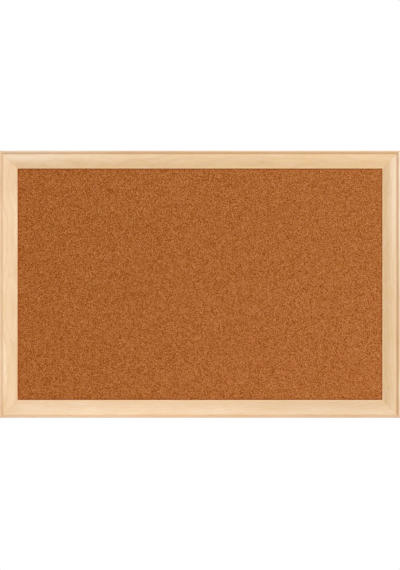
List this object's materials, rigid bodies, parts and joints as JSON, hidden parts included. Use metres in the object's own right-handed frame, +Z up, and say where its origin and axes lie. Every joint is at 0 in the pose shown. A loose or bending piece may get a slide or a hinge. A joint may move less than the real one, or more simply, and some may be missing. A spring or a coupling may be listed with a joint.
{
  "type": "cork board",
  "caption": "Landscape cork notice board with a mitred pale pine moulding, a pinning sheet on softboard, and two swinging D-ring hangers on its back.",
  "frame": {"origin": "on the wall plane, midway between the two hooks that carry the hanger rings", "axes": "+X to the right seen from the front, +Y into the wall, +Z up; the cork faces -Y"},
  "size_m": [0.6, 0.0255, 0.4],
  "materials": {
    "pine": "satin",
    "cork": "matte",
    "softboard": "matte",
    "hardboard": "matte",
    "nail_steel": "satin",
    "zinc_plate": "satin",
    "rubber": "matte"
  },
  "bodies": {
    "board": {"frame_rail_top": "pine", "frame_rail_bottom": "pine", "frame_stile_left": "pine", "frame_stile_right": "pine", "cork_sheet": "cork", "core_board": "softboard", "backing_sheet": "hardboard", "v_nail_1": "nail_steel", "v_nail_2": "nail_steel", "v_nail_3": "nail_steel", "v_nail_4": "nail_steel", "v_nail_5": "nail_steel", "v_nail_6": "nail_steel", "v_nail_7": "nail_steel", "v_nail_8": "nail_steel", "retaining_point_1": "nail_steel", "retaining_point_2": "nail_steel", "retaining_point_3": "nail_steel", "retaining_point_4": "nail_steel", "retaining_point_5": "nail_steel", "retaining_point_6": "nail_steel", "retaining_point_7": "nail_steel", "retaining_point_8": "nail_steel", "retaining_point_9": "nail_steel", "retaining_point_10": "nail_steel", "hanger_strap_left": "zinc_plate", "hanger_strap_right": "zinc_plate", "hanger_screw_left": "zinc_plate", "hanger_screw_right": "zinc_plate", "bumper_left": "rubber", "bumper_right": "rubber"},
    "ring_left": {"hanger_ring_left": "zinc_plate"},
    "ring_right": {"hanger_ring_right": "zinc_plate"}
  },
  "joints": [
    {"name": "ring_left_swing", "type": "hinge", "parent": "board", "child": "ring_left", "pos_m": [-0.29025, -0.00215, -0.011], "axis": [-1, 0, 0], "range_deg": [-3, 176]},
    {"name": "ring_right_swing", "type": "hinge", "parent": "board", "child": "ring_right", "pos_m": [0.29025, -0.00215, -0.011], "axis": [-1, 0, 0], "range_deg": [-3, 176]}
  ]
}
